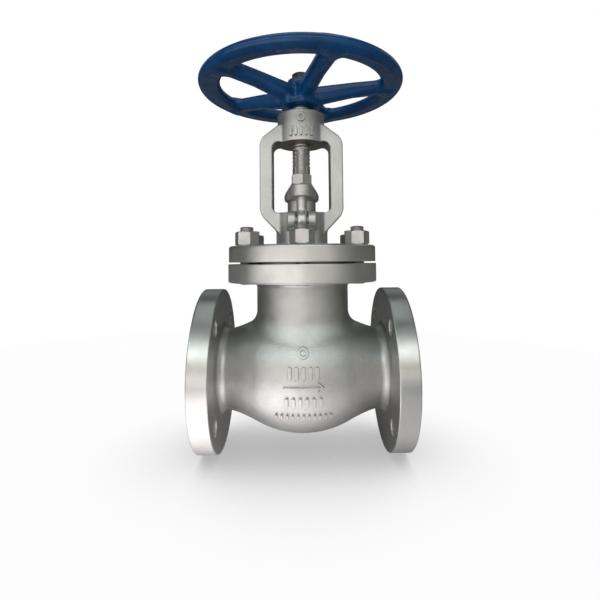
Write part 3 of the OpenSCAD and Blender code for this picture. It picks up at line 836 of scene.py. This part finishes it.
BOLT_R = 6.0
BOLT_PITCH = 1.75
BOLT_THREAD_DEPTH = 0.95
BOLT_THREAD_LOW = 205.0
BOLT_STEP = 0.42
THREAD_STEP = 0.25
THREAD_FLAT = 0.12
EYE_BALL_R = 11.2
EYE_RIM_R = 11.0
EYE_HALF_W = 6.0


def thread_depth(angle, z, pitch, depth, flat):
    """How far a right-hand thread is cut in at this angle and height."""
    phase = np.mod(z / pitch - angle / (2 * math.pi), 1)
    away = np.abs(phase - 0.5) * 2
    return depth * np.clip((1 - flat - away) / (1 - 2 * flat), 0, 1)


def eyebolt_field(side_y):
    """The field of an eyebolt on one side: a ball-shaped eye and a shank that is threaded at the top."""

    def field(x, y, z):
        px, py, pz = x, y - side_y, z - EYE_Z
        rad = length(px, py)
        depth = thread_depth(np.arctan2(py, px), z, BOLT_PITCH, BOLT_THREAD_DEPTH, THREAD_FLAT)
        started = np.clip((z - BOLT_THREAD_LOW) / 2, 0, 1)
        tip = np.clip((bolt_high[2] - z) / 1.6, 0, 1)
        shank = rad - BOLT_R + depth * started + (1 - tip) * 1.1
        shank = np.maximum(shank, between(z, EYE_Z + 3, bolt_high[2]))
        eye = np.maximum(length(rad, pz) - EYE_BALL_R, length(py, pz) - EYE_RIM_R)
        eye = common(eye, np.abs(px) - EYE_HALF_W, 2.6)
        return np.maximum(fillet(shank * 0.9, eye, 3), PIN_R + FIT_PLAY - length(py, pz))

    return field


bolt_xs = spaced((-8, BOLT_STEP), (8, BOLT_STEP))
bolt_zs = spaced((EYE_Z - 13, BOLT_STEP), (BOLT_THREAD_LOW - 1, THREAD_STEP), (bolt_high[2] + 1, THREAD_STEP))
for tag, side_y in (("front", -EYE_Y), ("rear", EYE_Y)):
    bolt_ys = spaced((side_y - 13, BOLT_STEP), (side_y + 13, BOLT_STEP))
    cast(f"{tag}_eyebolt_forging", eyebolt_field(side_y), bolt_xs, bolt_ys, bolt_zs, "casing", bolt_metal,
         "gland_steel", (f"eyebolt_{tag}",), 0.2)

# ---------------------------------------------------------------- turned pieces

SHARP_ANGLE = math.radians(35)


def lathe(name, rows, segments, body, material, node, spots=((0, 0, 0),), ring_shaped=False):
    """Closed turned pieces from (height, radius) rows, where a radius may be an array over the angle.
    The rows of a ring run around its section, and those of a solid piece from its foot to its top."""
    angle = np.arange(segments) * 2 * math.pi / segments
    circle = np.stack([np.cos(angle), np.sin(angle)], 1)
    one = []
    for z, r in rows:
        r = np.broadcast_to(r, segments)
        one.append(np.column_stack([circle * r[:, None], np.full(segments, z)]))
    one = np.concatenate(one)
    here = np.arange(segments)
    there = (here + 1) % segments
    sides = []
    for i in range(len(rows) if ring_shaped else len(rows) - 1):
        a, b = i * segments, (i + 1) % len(rows) * segments
        sides.append(np.stack([a + here, a + there, b + there, b + here], 1))
    sides = np.concatenate(sides)
    last = (len(rows) - 1) * segments
    points = np.concatenate([one + spot for spot in spots])
    starts = [i * len(one) for i in range(len(spots))]
    faces = np.concatenate([sides + start for start in starts]).tolist()
    if not ring_shaped:
        for start in starts:
            faces.append((start + here[::-1]).tolist())
            faces.append((start + last + here).tolist())
    data = bpy.data.meshes.new(name)
    data.from_pydata(((points + AXIS) * MM).tolist(), [], faces)
    data.validate()
    data.polygons.foreach_set("use_smooth", np.ones(len(data.polygons), bool))
    data.set_sharp_from_angle(angle=SHARP_ANGLE)
    data.materials.append(material)
    piece = bpy.data.objects.new(name, data)
    bpy.context.scene.collection.objects.link(piece)
    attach(piece, body)
    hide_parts(node)
    return piece


def thread_rows(low, high, r, pitch, depth, flat, segments, per_turn, fade_low, fade_high):
    """Rows of a thread from low to high. It runs out over fade_low and fade_high millimetres at its ends."""
    angle = np.arange(segments) * 2 * math.pi / segments
    rows = []
    count = round((high - low) / pitch * per_turn)
    for i in range(count + 1):
        z = low + (high - low) * i / count
        fade = min(1.0, (z - low) / fade_low, (high - z) / fade_high)
        rows.append((z, r - thread_depth(angle, z, pitch, depth, flat) * fade))
    return rows


STUD_SEGMENTS = 40
STUD_PITCH = 2.0
STUD_THREAD_DEPTH = 1.1


def stud_thread(low, high, per_turn, fade_low, fade_high):
    """One of a stud's threads, with a number of rows per turn."""
    return thread_rows(low, high, STUD_R, STUD_PITCH, STUD_THREAD_DEPTH, THREAD_FLAT, STUD_SEGMENTS, per_turn,
                       fade_low, fade_high)


def stud_rows():
    """A stud, threaded where it shows: at its foot, in the gap between the flanges and above the nut."""
    low, high = studs_low[2], studs_high[2]
    rows = [(low, STUD_R - 1.6), (low + 1.2, STUD_R - 0.2)]
    rows += stud_thread(low + 1.3, low + 5.3, 8, 0.5, 1.0)
    rows += [(body_top - 3, STUD_R)]
    rows += stud_thread(body_top - 2, bonnet_rim + 2, 8, 1.0, 1.0)
    rows += [(high - 8, STUD_R)]
    rows += stud_thread(high - 7, high - 1.4, 10, 1.0, 0.4)
    return rows + [(high - 1.3, STUD_R - 0.2), (high - 0.3, STUD_R - 1.5), (high, STUD_R - 2.4)]


lathe("bonnet_stud_set", stud_rows(), STUD_SEGMENTS, "casing", stud_metal, "bonnet_studs",
      [(x, y, 0) for x, y, _ in on_circle])

STEM_R = 11.0
STEM_PITCH = 5.0
STEM_THREAD_LOW = 243.0
STEM_THREAD_DEPTH = 0.6
STEM_THREAD_FLAT = 0.2
STEM_SEGMENTS = 72
STEM_SQUARE_HALF_W = 7.5
STEM_TOP_R = 6.0
STEM_TOP_PITCH = 1.75
STEM_TOP_THREAD_DEPTH = 0.9
STEM_HEAD_R = 17.0
BACKSEAT_COLLAR_R = 14.0


def stem_rows():
    """From the foot up: head in the disc, backseat collar, thread, square in the wheel's hub, and thread for
    the wheel's nut."""
    angle = np.arange(STEM_SEGMENTS) * 2 * math.pi / STEM_SEGMENTS
    widest = np.maximum(np.abs(np.cos(angle)), np.abs(np.sin(angle)))
    square = np.minimum(STEM_R, STEM_SQUARE_HALF_W / widest)
    foot, top = stem_low[2], stem_high[2]
    nut_thread_low = hub_high + 5
    rows = [(foot, STEM_HEAD_R - 1), (foot + 1, STEM_HEAD_R), (24, STEM_HEAD_R), (24, STEM_R), (91, STEM_R)]
    rows += [(91, BACKSEAT_COLLAR_R - 0.6), (91.6, BACKSEAT_COLLAR_R), (97, BACKSEAT_COLLAR_R)]
    rows += [(100, STEM_R), (STEM_THREAD_LOW - 1, STEM_R)]
    rows += thread_rows(STEM_THREAD_LOW, hub_low - 1.6, STEM_R, STEM_PITCH, STEM_THREAD_DEPTH,
                        STEM_THREAD_FLAT, STEM_SEGMENTS, 16, 3.0, 1.5)
    rows += [(hub_low - 1.5, STEM_R), (hub_low - 1.0, STEM_R - 0.1), (hub_low - 1.0, square)]
    rows += [(hub_high, square), (hub_high, STEM_TOP_R), (nut_thread_low, STEM_TOP_R)]
    rows += thread_rows(nut_thread_low + 0.2, top - 1.0, STEM_TOP_R, STEM_TOP_PITCH, STEM_TOP_THREAD_DEPTH,
                        THREAD_FLAT, STEM_SEGMENTS, 10, 0.5, 0.4)
    return rows + [(top - 0.9, STEM_TOP_R - 0.3), (top - 0.2, STEM_TOP_R - 1), (top, STEM_TOP_R - 1.8)]


lathe("threaded_stem", stem_rows(), STEM_SEGMENTS, "spindle", stem_metal, "stem")

# ---------------------------------------------------------------- packing rings

PACKING_LOW = 148.0
PACKING_PITCH = 6.4
PACKING_COUNT = 5
PACKING_GAP = 0.03
PACKING_ROUNDING = 0.5
PACKING_SEGMENTS = 64


def packing_rows():
    """Section of one ring, from its bore's foot around the outside and back."""
    bore, outside = STEM_R + FIT_PLAY, BOX_R - FIT_PLAY
    top, e = PACKING_PITCH - PACKING_GAP, PACKING_ROUNDING
    rows = [(e, bore), (0, bore + e), (0, outside - e), (e, outside)]
    return rows + [(top - e, outside), (top, outside - e), (top, bore + e), (top - e, bore)]


ring_spots = [(0, 0, PACKING_LOW + PACKING_GAP + i * PACKING_PITCH) for i in range(PACKING_COUNT)]
packing = lathe("packing_set", packing_rows(), PACKING_SEGMENTS, "casing", soft_graphite,
                "packing_rings", ring_spots, ring_shaped=True)
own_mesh(packing)

# ---------------------------------------------------------------- materials of the CAD nodes that stay

kept = {
    trim_metal: ["seat_ring", "backseat_bush", "disc", "disc_thrust_plate", "disc_nut", "packing_washer"],
    gland_metal: ["gland_follower", "eyebolt_pin_front", "eyebolt_pin_rear"],
    dark_metal: ["handwheel_washer", "yoke_bush_screw"],
    bronze: ["yoke_bush"],
    soft_graphite: ["bonnet_gasket"],
}
for material, names in kept.items():
    for name in names:
        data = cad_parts[name].data
        data.materials.clear()
        data.materials.append(material)

# ---------------------------------------------------------------- stage, light and camera


def stage_floor():
    """A pale floor that fades into the white backdrop, and lights the valve less than it seems to."""
    size, z = 9.0, -FLANGE_R * MM
    corners = [(-size, -size, z), (size, -size, z), (size, size, z), (-size, size, z)]
    data = bpy.data.meshes.new("floor")
    data.from_pydata(corners, [], [(0, 1, 2, 3)])
    floor = bpy.data.objects.new("floor", data)
    bpy.context.scene.collection.objects.link(floor)
    m = Nodes("pale_floor")
    path = m.add("LightPath")
    seen = path.outputs["Is Camera Ray"]
    unseen = m.math("SUBTRACT", 1.0, seen)
    length_node = m.tree.nodes.new("ShaderNodeVectorMath")
    length_node.operation = "LENGTH"
    m.tree.links.new(m.place, length_node.inputs[0])
    away = length_node.outputs["Value"]
    x, y, _ = m.parts(m.place)
    # What the camera sees: white, with the valve's contact shadow
    open_air = m.add("AmbientOcclusion", Distance=0.2).outputs["AO"]
    shown = m.math("MAXIMUM", m.ramp(open_air, 0.1, 1.0, 0.45, 0.985), m.ramp(away, 0.25, 1.0))
    # What the valve sees: bright in front, dim under it, behind it and on its right
    front = m.ramp(y, -0.02, -0.10, 0.16, 1.5)
    close = m.ramp(path.outputs["Ray Length"], 0.20, 0.42, 1.0, 0.06)
    near = m.math("MULTIPLY", front, m.math("MULTIPLY", close, m.ramp(away, 0.25, 0.5, 1.0, 0.6)))
    far_front = m.ramp(y, -0.4, -0.8, 0.0, 1.3)
    middle = float(AXIS[0]) * MM
    side = m.ramp(x, middle - 0.06, middle + 0.11, 1.0, 0.28)
    bounce = m.math("MULTIPLY", m.math("MAXIMUM", near, far_front), side)
    glow = m.math("ADD", m.math("MULTIPLY", seen, shown), m.math("MULTIPLY", unseen, bounce))
    base = m.mix(seen, grey(0.5), grey(0.0))
    tint = m.mix(seen, (1.0, 0.94, 0.97, 1), (1, 1, 1, 1))
    m.set(Base_Color=base, Roughness=0.9, Specular_IOR_Level=0.0, Emission_Color=tint, Emission_Strength=glow)
    data.materials.append(m.material)


def area_light(name, place, target, size, watts, colour):
    """A rectangular lamp that looks from place at target, in metres about the stem's axis."""
    data = bpy.data.lights.new(name, "AREA")
    data.shape = "RECTANGLE"
    data.size, data.size_y = size
    data.energy = watts
    data.color = colour
    lamp = bpy.data.objects.new(name, data)
    bpy.context.scene.collection.objects.link(lamp)
    place, target = np.array(place, float), np.array(target, float)
    back = (place - target) / np.linalg.norm(place - target)
    right = np.cross((0, 0, 1), back)
    right /= np.linalg.norm(right)
    up = np.cross(back, right)
    place = place + AXIS * MM
    lamp.matrix_world = Matrix([[right[k], up[k], back[k], place[k]] for k in range(3)] + [[0, 0, 0, 1]])


ROOM_LIGHT = 2.35
# The room's colour at the height that a ray points to: a soft window above eye level, in a dim room
ROOM_COLOURS = (
    (-0.20, (0.60, 0.57, 0.53)),
    (0.0, (0.80, 0.78, 0.71)),
    (0.12, (0.19, 0.18, 0.15)),
    (0.30, (0.12, 0.12, 0.10)),
    (0.44, (0.96, 1.0, 0.98)),
    (0.60, (0.74, 0.80, 0.80)),
    (0.75, (0.20, 0.23, 0.23)),
    (1.0, (0.12, 0.15, 0.15)),
)
ROOM_FRONT = (-0.19, -0.97, 0.10)


def studio_world():
    """White to the camera. To everything else it is a room that is bright in front, dim on both sides and
    darkest behind."""
    world = bpy.data.worlds.new("studio")
    bpy.context.scene.world = world
    world.use_nodes = True
    tree = world.node_tree
    tree.nodes.clear()

    def new(kind, **settings):
        node = tree.nodes.new("ShaderNode" + kind)
        for key, value in settings.items():
            setattr(node, key, value)
        return node

    def graded(source, low, high, to_low, to_high):
        node = new("MapRange", interpolation_type="SMOOTHSTEP")
        for key, v in zip(("From Min", "From Max", "To Min", "To Max"), (low, high, to_low, to_high)):
            node.inputs[key].default_value = v
        tree.links.new(source, node.inputs["Value"])
        return node.outputs["Result"]

    def combined(operation, a, b):
        node = new("Math", operation=operation)
        for socket, v in zip(node.inputs, (a, b)):
            if isinstance(v, bpy.types.NodeSocket):
                tree.links.new(v, socket)
            else:
                socket.default_value = v
        return node.outputs[0]

    direction = new("TexCoord").outputs["Generated"]
    split = new("SeparateXYZ")
    tree.links.new(direction, split.inputs[0])
    toward = new("VectorMath", operation="DOT_PRODUCT")
    tree.links.new(direction, toward.inputs[0])
    toward.inputs[1].default_value = ROOM_FRONT
    x, y, z = split.outputs
    ahead = graded(toward.outputs["Value"], 0.15, 0.97, 0.02, 1.0)
    left = graded(x, -0.3, -1.0, 0.0, 0.06)
    right = combined("MULTIPLY", graded(x, 0.3, 0.9, 0.0, 0.16), graded(z, -0.05, 0.3, 0.25, 1.0))
    behind = combined("MULTIPLY", graded(y, 0.3, 1.0, 0.0, 0.12), graded(z, 0.05, 0.35, 0.0, 1.0))
    around = combined("ADD", combined("ADD", left, right), behind)
    strength = combined("MULTIPLY", combined("ADD", ahead, around), ROOM_LIGHT)
    heights = new("ValToRGB")
    tree.links.new(combined("ADD", combined("MULTIPLY", z, 0.5), 0.5), heights.inputs["Fac"])
    ramp = heights.color_ramp
    made = len(ramp.elements)
    for k, (height, colour) in enumerate(ROOM_COLOURS):
        stop = ramp.elements[k] if k < made else ramp.elements.new(0.999)
        stop.position = height / 2 + 0.5
        stop.color = (*colour, 1)
    room = new("Background")
    tree.links.new(strength, room.inputs["Strength"])
    tree.links.new(heights.outputs["Color"], room.inputs["Color"])
    backdrop = new("Background")
    backdrop.inputs["Strength"].default_value = 1.0
    backdrop.inputs["Color"].default_value = (1, 1, 1, 1)
    paths = new("LightPath")
    mix = new("MixShader")
    out = new("OutputWorld")
    tree.links.new(paths.outputs["Is Camera Ray"], mix.inputs["Fac"])
    tree.links.new(room.outputs[0], mix.inputs[1])
    tree.links.new(backdrop.outputs[0], mix.inputs[2])
    tree.links.new(mix.outputs[0], out.inputs["Surface"])


# The camera that was fitted to the photo, in millimetres about the stem's axis and in radians
CAMERA_PLACE = (-1.2, -536.4, 128.6)
CAMERA_TURN = (-0.0046, 0.0534, -0.0098)
CAMERA_LENS = 26.02
CAMERA_SHIFT = (-0.005, -0.1033)


def camera():
    """Half a metre in front, level with the top of the bonnet flange, looking slightly up."""
    yaw, pitch, roll = CAMERA_TURN
    forward = np.array([-math.sin(yaw) * math.cos(pitch), math.cos(yaw) * math.cos(pitch), math.sin(pitch)])
    level = np.array([math.cos(yaw), math.sin(yaw), 0])
    above = np.cross(level, forward)
    right = level * math.cos(roll) + above * math.sin(roll)
    up = above * math.cos(roll) - level * math.sin(roll)
    data = bpy.data.cameras.new("camera")
    data.sensor_width = 36
    data.lens = CAMERA_LENS
    data.shift_x, data.shift_y = CAMERA_SHIFT
    data.clip_start = 0.01
    eye = bpy.data.objects.new("camera", data)
    bpy.context.scene.collection.objects.link(eye)
    place = (np.array(CAMERA_PLACE) + AXIS) * MM
    eye.matrix_world = Matrix([[right[k], up[k], -forward[k], place[k]] for k in range(3)] + [[0, 0, 0, 1]])
    bpy.context.scene.camera = eye


stage_floor()
studio_world()
area_light("top_fill", (0.0, 0.1, 1.5), (0, 0, 0.1), (1.0, 1.0), 2.0, (0.92, 0.98, 1.0))
camera()
bpy.context.scene.view_settings.view_transform = "Standard"
